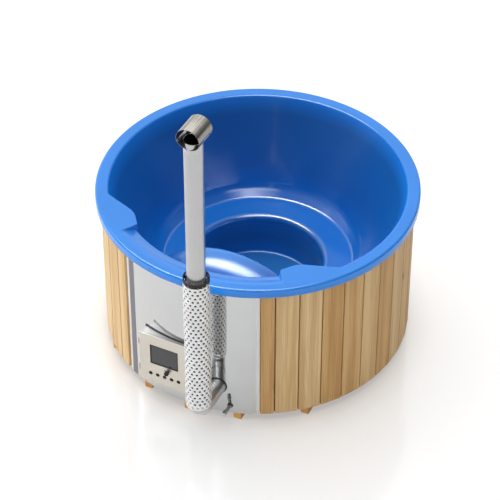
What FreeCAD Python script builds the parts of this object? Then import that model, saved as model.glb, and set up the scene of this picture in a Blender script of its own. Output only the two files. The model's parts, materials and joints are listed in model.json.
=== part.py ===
import FreeCAD, Part
import math
import os

from FreeCAD import Vector

# Wood-fired hot tub with a built-in stove. Origin on the tub's axis at the floor, +Z up,
# the stove door looks along -Y. Lengths in millimetres, angles in degrees from the front.

# Clearances and cuts
overrun = 40.0
full_turn = 360.0
half_turn = full_turn / 2
quarter_turn = full_turn / 4
seat_gap = 0.3
running_gap = 0.05
sleeve_gap = 0.1

# Tub shell, one moulding with a turned-down lip
rim_radius = 900.0
rim_top = 975.0
rim_inner_radius = 830.0
lip_height = 52.0
shell_wall = 7.0
round_bands = 2
rim_edge_round = 13.0
rim_inner_round = 14.0
bench_outer_radius = 548.0
bench_height = 440.0
bench_round = 70.0
bench_inner_radius = 372.0
bench_edge_round = 34.0
footwell_radius = 344.0
footwell_floor = 194.0
footwell_round = 40.0

# Shelf inside the front of the rim: a low ledge between two raised lugs
ledge_half_angle = 35.0
ledge_drop = 30.0
ledge_inner_radius = 755.0
lug_tip_radius = 742.0
lug_knee_angle = 42.5
lug_knee_radius = 708.0
lug_knee_round = 90.0
lug_end_angle = 57.5
shelf_depth = 260.0

# Hump over the stove: a flattened ball, round seen from the front
hump_offset = 110.0
hump_setback = 170.0
hump_centre_height = 355.0
hump_radius = 580.0
hump_half_depth = 235.0
hump_edge_round = 130.0
hollow_bands = 4

# Wooden cladding
cladding_radius = 872.0
cladding_bottom = 50.0
board_count = 34
narrow_board_angle = 5.3
board_thickness = 22.0
board_gap = 1.6
board_chamfer = 2.5
batten_width = 30.0
batten_height = 45.0
upper_batten_height = 855.0
middle_batten_height = 430.0

# Base
skid_width = 45.0
skid_spacing_inner = 277.0
skid_spacing_outer = 592.0
skid_end_setback = 2.0
base_board_thickness = 18.0
support_width = 60.0
support_length = 440.0
support_spacing = 150.0

# Steel front panel with folded edges
panel_turn = -1.2
panel_half_angle = 28.2
panel_strip_angle = 3.0
panel_strip_drop = 12.0
panel_sheet = 1.5
panel_hole_gap = 1.5
seal_proud = 4.0

# Stove and its fire door opening
stove_left = -290.0
stove_right = 290.0
stove_setback = 82.0
stove_depth = 290.0
stove_bottom = 130.0
stove_top = 690.0
stove_shoulder_round = 150.0
stove_sheet = 3.0
firebox_sheet = 4.0
firebox_back_gap = 60.0
duct_height = 400.0
duct_depth = 110.0
stove_leg_size = 30.0
stove_leg_inset = 75.0
collar_left = -265.0
collar_right = 11.0
collar_bottom = 155.0
collar_top = 487.0
collar_sheet = 3.0
collar_seal_width = 7.0
grate_thickness = 12.0
grate_lift = 22.0
grate_margin = 10.0
grate_leg = 16.0
grate_slots = 9
grate_slot_width = 9.0
grate_rim = 18.0

# Fire door, a folded tray that closes over the collar
door_proud = 27.0
door_left = -277.0
door_right = 23.0
door_bottom = 150.0
door_top = 492.0
door_sheet = 3.0
door_depth = 12.0
rope_width = 9.0
window_left = -213.0
window_right = -41.0
window_bottom = 286.0
window_top = 424.0
window_seal_width = 5.0
window_seal_depth = 2.2
glass_lap = 9.0
glass_thickness = 4.0
retainer_lap = 3.0
retainer_width = 18.0
retainer_thickness = 2.0

# Air holes and sliding damper
air_hole_count = 5
air_hole_radius = 12.0
air_hole_height = 210.0
damper_sheet = 2.0
damper_margin = 20.0
damper_bottom = 192.0
damper_top = 268.0
damper_lip = 6.0
damper_lip_sheet = 2.0
damper_rail = 5.0
knob_height = 260.0
knob_stem_radius = 3.0
knob_neck_radius = 8.0
knob_neck_length = 4.0
knob_radius = 13.0
knob_length = 28.0
knob_chamfer = 6.0
knob_slot_gap = 0.5

# Door hinges and latch
hinge_gap = 7.0
knuckle_radius = 6.0
knuckle_height = 20.0
hinge_pin_radius = 3.0
hinge_leaf = 3.0
hinge_leaf_setback = 2.0
lower_hinge_height = 205.0
upper_hinge_height = 397.0
latch_standoff = 15.0
latch_height = 321.0
latch_shaft_radius = 4.0
latch_hub_radius = 10.0
latch_hub_length = 15.0
latch_bar_radius = 4.0
latch_bar_length = 26.0
latch_grip_radius = 8.0
latch_grip_length = 54.0
latch_grip_lap = 16.0
latch_grip_chamfer = 3.0
cam_reach = 24.0
cam_width = 12.0
cam_thickness = 5.0
keeper_depth = 6.0
keeper_half_height = 14.0

# Flue: stub through the panel, elbow, pipe, heat guard and rain cap
flue_offset = 174.0
flue_height = 240.0
flue_radius = 50.0
flue_sheet = 1.5
flue_seal_width = 5.0
chimney_standoff = 197.0
elbow_bend = 75.0
bend_gores = 2
elbow_sheet = 2.5
socket_length = 38.0
pipe_top = 2010.0
guard_radius = 70.0
guard_sheet = 1.5
guard_bottom = 300.0
guard_top = 1190.0
guard_holes_round = 8
guard_row_pitch = 80.0
guard_hole_size = 24.0
spacer_width = 20.0
spacer_height = 12.0
spacer_inset = 40.0
spacer_count = 3
cap_rise = 90.0
cap_radius = 64.0
cap_sheet = 1.5
cap_front_reach = 10.0
cap_back_reach = 30.0
cap_slit = 8.0
cap_slit_drop = 14.0
cap_neck_rise = 60.0
cap_spigot_length = 34.0
cap_tab_width = 12.0
cap_tab_height = 24.0
cap_tab_inset = 16.0

# Drain from the footwell floor to the panel
drain_offset = 245.0
drain_height = 103.0
drain_back = 100.0
drain_bore_radius = 7.5
drain_nipple_radius = 10.5
drain_nipple_proud = 33.0
drain_nipple_length = 125.0
drain_lap = 30.0
drain_pipe_wall = 3.0
drain_bend = 60.0
drain_seal_width = 5.0
drain_cap_radius = 14.0
drain_cap_length = 27.0
drain_cap_lap = 13.0
drain_cap_flats = 8
floor_flange_radius = 40.0
floor_flange_thickness = 4.0
floor_tail_length = 38.0
strainer_radius = 30.0
strainer_thickness = 3.0
strainer_slots = 3
strainer_slot_width = 6.0
strainer_slot_share = 0.6

# Water pipes between the stove and the tub
cold_port_height = 505.0
hot_port_height = 650.0
port_radius = 25.0
port_wall = 2.5
port_reach = 22.0
grille_lip = 6.0
grille_thickness = 10.0
grille_slots = 3
grille_slot_width = 5.0
grille_slot_share = 0.6

# Places worked out from the sizes above
ledge_top = rim_top - ledge_drop
flange_bottom = rim_top - shell_wall
board_start = panel_half_angle + narrow_board_angle
board_step = (full_turn - 2 * board_start) / board_count
batten_outer = cladding_radius * math.cos(math.radians(board_step / 2)) - board_thickness - seat_gap
batten_corner_share = 1 / math.cos(math.radians(board_step / 2))
base_top = cladding_bottom + base_board_thickness
skid_end_radius = cladding_radius - skid_end_setback
stove_front = cladding_radius - stove_setback
stove_back = stove_front - stove_depth
hump_forward = stove_front - hump_setback
door_front = cladding_radius + door_proud
collar_front = door_front - door_sheet - 2 * seat_gap - glass_thickness - seat_gap
door_back_face = door_front - door_sheet
door_rear = door_front - door_depth
hinge_x = door_left - hinge_gap
hinge_y = -door_rear
latch_x = door_right + latch_standoff
window_middle = (window_left + window_right) / 2
air_hole_pitch = (window_right - window_left) / (air_hole_count - 1)
damper_travel = air_hole_pitch / 2
damper_hole_radius = damper_travel - air_hole_radius - seat_gap
knob_x = window_middle + damper_travel
chimney_y = -cladding_radius - chimney_standoff
cap_centre_height = pipe_top + cap_rise
cap_length = 2 * flue_radius + cap_front_reach + cap_back_reach
drain_nipple_front = cladding_radius + drain_nipple_proud
drain_nipple_back = drain_nipple_front - drain_nipple_length


def box(left, right, front, back, bottom, top):
    """Block between two planes on each axis, front and back given as y values."""
    corner = Vector(left, front, bottom)
    return Part.makeBox(right - left, back - front, top - bottom, corner)


def rod(radius, start, direction, length):
    """Round bar from a point along a direction."""
    return Part.makeCylinder(radius, length, start, direction)


def tube(outer, inner, start, direction, length):
    """Round tube from a point along a direction."""
    return rod(outer, start, direction, length).cut(rod(inner, start, direction, length))


def around(radius, angle, height):
    """Point at an angle from the front, positive towards +X."""
    turn = math.radians(angle)
    return Vector(radius * math.sin(turn), -radius * math.cos(turn), height)


def turned(shape, angle):
    """Copy of a shape made at the front, turned about the tub's axis."""
    copy = shape.copy()
    copy.rotate(Vector(0, 0, 0), Vector(0, 0, 1), angle)
    return copy


def band(outer, inner, start_angle, end_angle, bottom, top):
    """Part of a ring about the tub's axis, between two angles from the front."""
    middle = (start_angle + end_angle) / 2
    outer_ends = [around(outer, a, bottom) for a in (start_angle, middle, end_angle)]
    inner_ends = [around(inner, a, bottom) for a in (end_angle, middle, start_angle)]
    edges = [
        Part.Arc(*outer_ends).toShape(),
        Part.makeLine(outer_ends[2], inner_ends[0]),
        Part.Arc(*inner_ends).toShape(),
        Part.makeLine(inner_ends[2], outer_ends[0]),
    ]
    return Part.Face(Part.Wire(edges)).extrude(Vector(0, 0, top - bottom))


def chords(arc, count):
    """Straight edges between evenly spaced points of an arc."""
    points = arc.toShape().discretize(count + 1)
    return [Part.makeLine(a, b) for a, b in zip(points, points[1:])]


def rounded_wire(corners, chord_count=0):
    """Closed wire through (point, radius) corners, rounded by tangent arcs or by chords of them."""
    starts = []
    ends = []
    edges = []
    count = len(corners)
    for i, (point, radius) in enumerate(corners):
        back = (corners[i - 1][0] - point).normalize()
        ahead = (corners[(i + 1) % count][0] - point).normalize()
        if radius == 0:
            starts.append(point)
            ends.append(point)
            continue
        half = back.getAngle(ahead) / 2
        reach = radius / math.tan(half)
        middle = (back + ahead).normalize() * (radius / math.sin(half) - radius)
        starts.append(point + back * reach)
        ends.append(point + ahead * reach)
        arc = Part.Arc(starts[-1], point + middle, ends[-1])
        edges += chords(arc, chord_count) if chord_count else [arc.toShape()]
    for i in range(count):
        following = (i + 1) % count
        if ends[i].distanceToPoint(starts[following]) > sleeve_gap:
            edges.append(Part.makeLine(ends[i], starts[following]))
    return Part.Wire(Part.__sortEdges__(edges))


def profile(corners, chord_count=0):
    """Face in the XZ plane from (radius, height, rounding) corners."""
    placed = [(Vector(r, 0, z), rounding) for r, z, rounding in corners]
    return Part.Face(rounded_wire(placed, chord_count))


def lathe(corners):
    """Body of revolution about the tub's axis, with its roundings in flat bands."""
    return profile(corners, round_bands).revolve(Vector(0, 0, 0), Vector(0, 0, 1), full_turn)


def shell_face_corners():
    """Visible side of the moulding from the lip's lower edge to the middle of the floor."""
    return [
        (rim_radius, rim_top - lip_height, 0),
        (rim_radius, rim_top, rim_edge_round),
        (rim_inner_radius, rim_top, rim_inner_round),
        (bench_outer_radius, bench_height, bench_round),
        (bench_inner_radius, bench_height, bench_edge_round),
        (footwell_radius, footwell_floor, footwell_round),
        (0, footwell_floor, 0),
    ]


def shell_back_corners():
    """Hidden side of the moulding: the visible side moved out by the wall."""
    corners = shell_face_corners()
    directions = []
    for (r0, z0, _), (r1, z1, _) in zip(corners, corners[1:]):
        length = math.hypot(r1 - r0, z1 - z0)
        directions.append(((r1 - r0) / length, (z1 - z0) / length))
    result = []
    for i, (r, z, rounding) in enumerate(corners):
        before = directions[max(i - 1, 0)]
        after = directions[min(i, len(directions) - 1)]
        turn = before[0] * after[1] - before[1] * after[0]
        share = shell_wall / (1 + before[0] * after[0] + before[1] * after[1])
        moved_r = r - share * (before[1] + after[1])
        moved_z = z + share * (before[0] + after[0])
        moved_rounding = 0
        if rounding > 2 * shell_wall:
            moved_rounding = rounding - math.copysign(shell_wall, turn)
        result.append((moved_r, moved_z, moved_rounding))
    return result


def shell_envelope():
    """Everything inside the moulding's hidden side."""
    inner = shell_back_corners()[2:]
    top_radius = inner[0][0]
    return lathe([(0, rim_top, 0), (top_radius, rim_top, 0), (top_radius, inner[0][1], 0)] + inner[1:])


def lug_plan(side):
    """Outline of a lug seen from above, from its notch to where it runs into the rim."""
    height = rim_top - shelf_depth
    tip = around(lug_tip_radius, side * ledge_half_angle, height)
    knee = around(lug_knee_radius, side * lug_knee_angle, height)
    end = around(rim_inner_radius, side * lug_end_angle, height)
    outer_end = around(cladding_radius, side * lug_end_angle, height)
    outer_tip = around(cladding_radius, side * ledge_half_angle, height)
    corners = [(tip, 0), (knee, lug_knee_round), (end, 0), (outer_end, 0), (outer_tip, 0)]
    return Part.Face(rounded_wire(corners))


def add_front_shelf(shell, envelope):
    """Ledge and lugs inside the front rim, hollow at the back."""
    angle = ledge_half_angle
    bottom = rim_top - shelf_depth
    ledge = band(cladding_radius, ledge_inner_radius, -angle, angle, bottom, ledge_top)
    blocks = [ledge.common(envelope)]
    inside = ledge_inner_radius + shell_wall
    hollows = [band(cladding_radius, inside, -angle, angle, bottom - overrun, ledge_top - shell_wall)]
    for side in (-1, 1):
        plan = lug_plan(side)
        blocks.append(plan.extrude(Vector(0, 0, shelf_depth)).common(envelope))
        hollow_plan = plan.makeOffset2D(-shell_wall)
        hollow = hollow_plan.extrude(Vector(0, 0, shelf_depth + overrun - shell_wall))
        hollow.translate(Vector(0, 0, -overrun))
        hollows.append(hollow)
    return shell.fuse(blocks).cut(hollows)


def hump_cap():
    """Radius of the hump's flat sides and how far their centres lie behind its middle."""
    ring = hump_radius - hump_edge_round
    squares = ring ** 2 + hump_half_depth ** 2 - hump_edge_round ** 2
    cap = squares / (2 * (hump_half_depth - hump_edge_round))
    return cap, cap - hump_half_depth


def flattened_ball(inset):
    """Lens with a round edge at the hump's place, every face moved in by an inset."""
    ring = hump_radius - hump_edge_round
    cap, setback = hump_cap()
    slope = math.atan2(ring, setback)
    edge = hump_edge_round - inset
    cap -= inset
    centre = Vector(hump_offset, -hump_forward, hump_centre_height)

    def on_cap(angle, side):
        return centre + Vector(cap * math.sin(angle), side * (cap * math.cos(angle) - setback), 0)

    arcs = [
        Part.Arc(on_cap(0, -1), on_cap(slope / 2, -1), on_cap(slope, -1)),
        Part.Arc(on_cap(slope, -1), centre + Vector(ring + edge, 0, 0), on_cap(slope, 1)),
        Part.Arc(on_cap(slope, 1), on_cap(slope / 2, 1), on_cap(0, 1)),
    ]
    edges = [Part.makeLine(on_cap(0, 1), on_cap(0, -1))]
    for arc in arcs:
        edges += chords(arc, hollow_bands) if inset else [arc.toShape()]
    outline = Part.Face(Part.Wire(Part.__sortEdges__(edges)))
    return outline.revolve(centre, Vector(0, 1, 0), full_turn)


def add_hump(shell, envelope):
    """Hollow hump over the stove, open below and at the front."""
    reach = ledge_inner_radius + shell_wall / 2
    inside = rod(reach, Vector(0, 0, 0), Vector(0, 0, 1), rim_top)
    shell = shell.fuse(flattened_ball(0).common(envelope).common(inside))
    return shell.cut(flattened_ball(shell_wall))


def tub_shell():
    """Moulded tub with rim, bench, footwell, front shelf and stove hump."""
    shell = lathe(shell_face_corners() + list(reversed(shell_back_corners())))
    envelope = shell_envelope()
    shell = add_front_shelf(shell, envelope)
    shell = add_hump(shell, envelope)
    for height in (cold_port_height, hot_port_height):
        start = Vector(hump_offset, -stove_back, height)
        shell = shell.cut(rod(port_radius + seat_gap, start, Vector(0, 1, 0), stove_back))
    drain = Vector(drain_offset, -drain_back, footwell_floor - overrun)
    shell = shell.cut(rod(drain_nipple_radius + seat_gap, drain, Vector(0, 0, 1), 2 * overrun))
    return shell.removeSplitter()


def board(angle, width_angle):
    """Flat plank with chamfered outer edges, standing at an angle from the front."""
    half = math.radians(width_angle) / 2
    face = cladding_radius * math.cos(half)
    half_width = cladding_radius * math.sin(half) - board_gap / 2
    inner_half = half_width * (face - board_thickness) / face
    points = [
        (half_width - board_chamfer, face),
        (half_width, face - board_chamfer),
        (inner_half, face - board_thickness),
    ]
    outline = [Vector(x, -y, cladding_bottom) for x, y in points]
    outline += [Vector(-p.x, p.y, p.z) for p in reversed(outline)]
    plank = Part.Face(Part.makePolygon(outline + outline[:1]))
    return turned(plank.extrude(Vector(0, 0, flange_bottom - seat_gap - cladding_bottom)), angle)


def cladding_boards():
    """Planks round the tub from one edge of the panel to the other."""
    boards = []
    for side in (-1, 1):
        middle = panel_turn + side * (panel_half_angle + narrow_board_angle / 2)
        boards.append(board(middle, narrow_board_angle))
    for i in range(board_count):
        boards.append(board(panel_turn + board_start + (i + 1 / 2) * board_step, board_step))
    return Part.makeCompound(boards)


def batten_ring(height):
    """Wooden hoop in straight lengths behind the planks, open behind the panel."""
    first = panel_half_angle - math.degrees(batten_width / batten_outer)
    angles = [first] + [board_start + i * board_step for i in range(board_count + 1)] + [full_turn - first]
    angles = [panel_turn + a for a in angles]
    outer_corner = batten_outer * batten_corner_share
    inner_corner = (batten_outer - batten_width) * batten_corner_share
    outer = [around(outer_corner, a, height) for a in angles]
    inner = [around(inner_corner, a, height) for a in reversed(angles)]
    hoop = Part.Face(Part.makePolygon(outer + inner + outer[:1]))
    return hoop.extrude(Vector(0, 0, batten_height))


def base_skids():
    """Beams under the base, cut off inside the cladding."""
    beams = []
    half = skid_width / 2
    for x in (-skid_spacing_outer, -skid_spacing_inner, 0, skid_spacing_inner, skid_spacing_outer):
        reach = math.sqrt(skid_end_radius ** 2 - (abs(x) + half) ** 2)
        beams.append(box(x - half, x + half, -reach, reach, 0, cladding_bottom))
    return Part.makeCompound(beams)


def base_board():
    """Round floor of the cladding on the skids."""
    return rod(batten_outer, Vector(0, 0, cladding_bottom), Vector(0, 0, 1), base_board_thickness)


def floor_supports():
    """Beams between the base board and the footwell."""
    half = support_width / 2
    reach = support_length / 2
    top = footwell_floor - shell_wall
    beams = [
        box(x - half, x + half, -reach, reach, base_top, top)
        for x in (-support_spacing, 0, support_spacing)
    ]
    return Part.makeCompound(beams)


def collar_block(margin, front, back):
    """Block of the collar's section, made wider by a margin."""
    return box(collar_left - margin, collar_right + margin, -front, -back,
               collar_bottom - margin, collar_top + margin)


def steel_panel():
    """Curved front sheet with a flat strip along each upright edge and the edges folded in."""
    top = flange_bottom - seat_gap
    curve_end = panel_half_angle - panel_strip_angle
    panel = band(cladding_radius, cladding_radius - panel_sheet, panel_turn - curve_end,
                 panel_turn + curve_end, cladding_bottom, top)
    edge_radius = cladding_radius - panel_strip_drop
    fold = math.degrees(panel_sheet / edge_radius)
    fold_end = batten_outer * batten_corner_share + seat_gap
    for side in (-1, 1):
        start = panel_turn + side * curve_end
        end = panel_turn + side * panel_half_angle
        folded = end - side * fold
        outline = [
            around(cladding_radius, start, cladding_bottom),
            around(edge_radius, end, cladding_bottom),
            around(fold_end, end, cladding_bottom),
            around(fold_end, folded, cladding_bottom),
            around(edge_radius - panel_sheet, folded, cladding_bottom),
            around(cladding_radius - panel_sheet, start, cladding_bottom),
        ]
        strip = Part.Face(Part.makePolygon(outline + outline[:1]))
        panel = panel.fuse(strip.extrude(Vector(0, 0, top - cladding_bottom)))
    panel = panel.cut(collar_block(panel_hole_gap, cladding_radius + overrun, stove_back))
    for x, z, radius in ((flue_offset, flue_height, flue_radius),
                         (drain_offset, drain_height, drain_nipple_radius)):
        start = Vector(x, -cladding_radius - overrun, z)
        panel = panel.cut(rod(radius + panel_hole_gap, start, Vector(0, 1, 0), cladding_radius))
    return panel.removeSplitter()


def curved_seal(block):
    """Part of a block that lies just outside the panel's curve."""
    reach = panel_half_angle
    return block.common(band(cladding_radius + seal_proud, cladding_radius, -reach, reach,
                             cladding_bottom, flange_bottom))


def collar_seal():
    """Rubber frame round the collar where it passes the panel."""
    ring = collar_block(collar_seal_width, door_front, stove_back)
    return curved_seal(ring.cut(collar_block(sleeve_gap, door_front, stove_back)))


def round_seal(x, z, radius, width):
    """Rubber ring round a pipe where it passes the panel."""
    start = Vector(x, -door_front, z)
    return curved_seal(tube(radius + width, radius + sleeve_gap, start, Vector(0, 1, 0), stove_back))


def jacket_block(inset):
    """Body of the stove's water jacket, every face moved in by an inset."""
    shoulder = stove_shoulder_round - inset
    corners = [
        (stove_left + inset, stove_bottom + inset, 0),
        (stove_right - inset, stove_bottom + inset, 0),
        (stove_right - inset, stove_top - inset, shoulder),
        (stove_left + inset, stove_top - inset, shoulder),
    ]
    block = profile(corners).extrude(Vector(0, stove_front - stove_back - 2 * inset, 0))
    block.translate(Vector(0, -stove_front + inset, 0))
    return block


def firebox_block(margin):
    """Outside of the firebox in line with the collar, made wider by a margin."""
    back = stove_back + firebox_back_gap
    return collar_block(firebox_sheet - collar_sheet + margin, stove_front, back - margin)


def stove_jacket():
    """Water jacket with round shoulders, closed but for the firebox, smoke and water openings."""
    jacket = jacket_block(0).cut(jacket_block(stove_sheet))
    jacket = jacket.cut(firebox_block(sleeve_gap))
    smoke = Vector(flue_offset, -stove_front - overrun, flue_height)
    jacket = jacket.cut(rod(flue_radius + sleeve_gap, smoke, Vector(0, 1, 0), 2 * overrun))
    for height in (cold_port_height, hot_port_height):
        start = Vector(hump_offset, -stove_back - overrun, height)
        jacket = jacket.cut(rod(port_radius - port_wall, start, Vector(0, 1, 0), 2 * overrun))
    return jacket


def firebox():
    """Firebox inside the jacket, open at the front and to the smoke duct."""
    inner = collar_block(-collar_sheet, stove_front + overrun, stove_back + firebox_back_gap + firebox_sheet)
    smoke = Vector(collar_right - overrun, -stove_front + duct_depth, duct_height)
    outlet = rod(flue_radius + sleeve_gap, smoke, Vector(1, 0, 0), 2 * overrun)
    return firebox_block(0).cut(inner).cut(outlet)


def stove_legs():
    """Square legs from the base board to the stove."""
    legs = []
    for x in (stove_left + stove_leg_inset, stove_right - stove_leg_inset - stove_leg_size):
        for y in (-stove_front + stove_leg_size, -stove_back - 2 * stove_leg_size):
            legs.append(box(x, x + stove_leg_size, y, y + stove_leg_size, base_top, stove_bottom))
    return Part.makeCompound(legs)


def stove_collar():
    """Square neck from the stove's front through the panel."""
    neck = collar_block(0, collar_front, stove_front)
    return neck.cut(collar_block(-collar_sheet, collar_front + overrun, stove_front - overrun))


def fire_grate():
    """Cast grate on short legs on the firebox floor."""
    left = collar_left + collar_sheet + grate_margin
    right = collar_right - collar_sheet - grate_margin
    front = -stove_front + grate_margin
    back = -stove_back - firebox_back_gap - firebox_sheet - grate_margin
    floor = collar_bottom + collar_sheet
    bottom = floor + grate_lift
    grate = box(left, right, front, back, bottom, bottom + grate_thickness)
    pitch = (right - left - 2 * grate_rim) / grate_slots
    for i in range(grate_slots):
        middle = left + grate_rim + (i + 1 / 2) * pitch
        half = grate_slot_width / 2
        grate = grate.cut(box(middle - half, middle + half, front + grate_rim, back - grate_rim,
                              floor, bottom + overrun))
    for x in (left, right - grate_leg):
        for y in (front, back - grate_leg):
            grate = grate.fuse(box(x, x + grate_leg, y, y + grate_leg, floor, bottom))
    return grate.removeSplitter()


def door_block(margin, front, back):
    """Block of the door's outline, made narrower by a margin."""
    return box(door_left + margin, door_right - margin, -front, -back,
               door_bottom + margin, door_top - margin)


def window_block(margin, front, back):
    """Block of the window's outline, made wider by a margin."""
    return box(window_left - margin, window_right + margin, -front, -back,
               window_bottom - margin, window_top + margin)


def air_holes(radius, front, back):
    """Row of rods for the air holes under the window."""
    rods = [
        rod(radius, Vector(window_left + i * air_hole_pitch, -front, air_hole_height),
            Vector(0, 1, 0), front - back)
        for i in range(air_hole_count)
    ]
    return Part.makeCompound(rods)


def stove_door():
    """Folded door tray with window, air holes and damper slot."""
    door = door_block(0, door_front, door_rear)
    door = door.cut(door_block(door_sheet, door_back_face, door_rear - overrun))
    door = door.cut(window_block(0, door_front + overrun, door_rear))
    door = door.cut(air_holes(air_hole_radius, door_front + overrun, door_rear))
    half = knob_stem_radius + knob_slot_gap
    slot_left = knob_x - damper_travel
    slot = box(slot_left, knob_x, -door_front - overrun, -door_rear, knob_height - half, knob_height + half)
    for x in (slot_left, knob_x):
        start = Vector(x, -door_front - overrun, knob_height)
        slot = slot.fuse(rod(half, start, Vector(0, 1, 0), overrun + door_depth))
    return door.cut(slot)


def window_seal():
    """Black rope set in the window opening in front of the glass."""
    back = door_back_face
    ring = window_block(-seat_gap, back + window_seal_depth, back)
    return ring.cut(window_block(-window_seal_width, door_front, door_rear))


def door_glass():
    """Ceramic glass pane behind the window."""
    front = door_back_face - seat_gap
    return window_block(glass_lap, front, front - glass_thickness)


def glass_retainer():
    """Steel frame that holds the pane to the door."""
    front = door_back_face - 2 * seat_gap - glass_thickness
    margin = glass_lap + retainer_lap
    ring = window_block(margin, front, front - retainer_thickness)
    return ring.cut(window_block(margin - retainer_width, door_front, stove_front))


def door_rope():
    """Sealing rope inside the door that meets the collar's edge."""
    reach = (rope_width - collar_sheet) / 2
    ring = collar_block(reach, door_back_face, collar_front + seat_gap)
    ring = ring.cut(collar_block(reach - rope_width, door_front, stove_front))
    return ring.common(door_block(door_sheet + seat_gap, door_back_face, collar_front + seat_gap))


def damper_ends():
    """Left and right edge of the damper at rest."""
    return window_left - damper_margin, window_right + damper_margin


def air_damper():
    """Sliding plate behind the door with holes that line up with the door's."""
    left, right = damper_ends()
    front = door_back_face - seat_gap
    plate = box(left, right, -front, -front + damper_sheet, damper_bottom, damper_top)
    return plate.cut(air_holes(damper_hole_radius, front + overrun, front - overrun))


def damper_knob():
    """Turned knob with a stem through the door's slot."""
    plate_face = door_back_face - seat_gap
    neck = door_front + seat_gap
    shoulder = neck + knob_neck_length
    end = neck + knob_length
    outline = [
        (0, plate_face, 0),
        (knob_stem_radius, plate_face, 0),
        (knob_stem_radius, neck, 0),
        (knob_neck_radius, neck, 0),
        (knob_neck_radius, shoulder, 0),
        (knob_radius, shoulder + knob_chamfer, 0),
        (knob_radius, end - knob_chamfer, 0),
        (knob_radius - knob_chamfer, end, 0),
        (0, end, 0),
    ]
    knob = lathe(outline)
    knob.rotate(Vector(0, 0, 0), Vector(1, 0, 0), quarter_turn)
    knob.translate(Vector(knob_x, 0, knob_height))
    return knob


def damper_guides():
    """Two rails behind the door that hold the damper's long edges."""
    left, right = damper_ends()
    left -= damper_travel
    back = door_back_face - 2 * seat_gap - damper_sheet
    rails = []
    for edge, side in ((damper_bottom - seat_gap, -1), (damper_top + seat_gap, 1)):
        outer = edge + side * damper_rail
        inner = edge - side * damper_lip
        low, high = sorted((edge, outer))
        lip_low, lip_high = sorted((inner, outer))
        web = box(left, right, -door_back_face, -back, low, high)
        lip = box(left, right, -back, -back + damper_lip_sheet, lip_low, lip_high)
        rails.append(web.fuse(lip).removeSplitter())
    return Part.makeCompound(rails)


def hinge_barrel(height):
    """Bored knuckle about the hinge line."""
    start = Vector(hinge_x, hinge_y, height)
    return tube(knuckle_radius, hinge_pin_radius + running_gap, start, Vector(0, 0, 1), knuckle_height)


def bored_leaf(leaf, height):
    """Hinge leaf joined to its knuckle, with the pin's hole kept open."""
    start = Vector(hinge_x, hinge_y, height)
    hole = rod(hinge_pin_radius + running_gap, start, Vector(0, 0, 1), knuckle_height)
    return hinge_barrel(height).fuse(leaf.cut(hole)).removeSplitter()


def hinge_brackets():
    """Lower knuckles on the collar's side."""
    brackets = []
    for height in (lower_hinge_height, upper_hinge_height):
        front = hinge_y + hinge_leaf_setback
        leaf = box(hinge_x, collar_left, front, front + hinge_leaf, height, height + knuckle_height)
        brackets.append(bored_leaf(leaf, height))
    return Part.makeCompound(brackets)


def door_knuckles():
    """Upper knuckles on the door's edge."""
    knuckles = []
    for height in (lower_hinge_height, upper_hinge_height):
        bottom = height + knuckle_height + seat_gap
        leaf = box(hinge_x, door_left, hinge_y - hinge_leaf, hinge_y, bottom, bottom + knuckle_height)
        knuckles.append(bored_leaf(leaf, bottom))
    return Part.makeCompound(knuckles)


def hinge_pins():
    """Pins through both knuckles."""
    length = 2 * knuckle_height + seat_gap
    pins = [rod(hinge_pin_radius, Vector(hinge_x, hinge_y, height), Vector(0, 0, 1), length)
            for height in (lower_hinge_height, upper_hinge_height)]
    return Part.makeCompound(pins)


def latch_keeper():
    """Bracket on the collar's outer side that carries the latch beside the door."""
    half = keeper_half_height
    front = seat_gap - door_rear
    plate = box(collar_right, latch_x + latch_hub_radius, front, front + keeper_depth,
                latch_height - half, latch_height + half)
    start = Vector(latch_x, front - overrun, latch_height)
    return plate.cut(rod(latch_shaft_radius + running_gap, start, Vector(0, 1, 0), 2 * overrun))


def latch_cam():
    """Tongue beside the door that turns over the door's edge, upright at rest."""
    half = cam_width / 2
    back = -door_front - seat_gap
    front = back - cam_thickness
    tongue = box(latch_x - half, latch_x + half, front, back, latch_height, latch_height + cam_reach)
    boss = rod(latch_hub_radius, Vector(latch_x, front, latch_height), Vector(0, 1, 0), cam_thickness)
    start = Vector(latch_x, front, latch_height)
    bore = rod(latch_shaft_radius + running_gap, start, Vector(0, 1, 0), cam_thickness)
    return tongue.fuse(boss).removeSplitter().cut(bore)


def latch_handle():
    """Hub and bar in front of the tongue on a shaft that turns in the bracket."""
    hub_back = -door_front - seat_gap - cam_thickness
    hub_front = hub_back - latch_hub_length
    hub = rod(latch_hub_radius, Vector(latch_x, hub_front, latch_height), Vector(0, 1, 0), latch_hub_length)
    shaft_length = seat_gap - door_rear + keeper_depth - hub_back
    shaft = rod(latch_shaft_radius, Vector(latch_x, hub_back, latch_height), Vector(0, 1, 0), shaft_length)
    middle = Vector(latch_x, hub_back - latch_hub_length / 2, latch_height)
    bar = rod(latch_bar_radius, middle, Vector(0, 0, -1), latch_hub_radius + latch_bar_length)
    return hub.fuse([shaft, bar]).removeSplitter()


def latch_grip():
    """Turned grip on the end of the latch bar."""
    socket_end = latch_hub_radius + latch_bar_length + seat_gap
    start = socket_end - seat_gap - latch_grip_lap
    end = start + latch_grip_length
    outline = [
        (latch_bar_radius + running_gap, start, 0),
        (latch_grip_radius - latch_grip_chamfer / 2, start, 0),
        (latch_grip_radius, start + latch_grip_chamfer, 0),
        (latch_grip_radius, end - latch_grip_chamfer, 0),
        (latch_grip_radius - latch_grip_chamfer, end, 0),
        (0, end, 0),
        (0, socket_end, 0),
        (latch_bar_radius + running_gap, socket_end, 0),
    ]
    grip = lathe(outline)
    grip.rotate(Vector(0, 0, 0), Vector(1, 0, 0), half_turn)
    hub_middle = -door_front - seat_gap - cam_thickness - latch_hub_length / 2
    grip.translate(Vector(latch_x, hub_middle, latch_height))
    return grip


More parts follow.
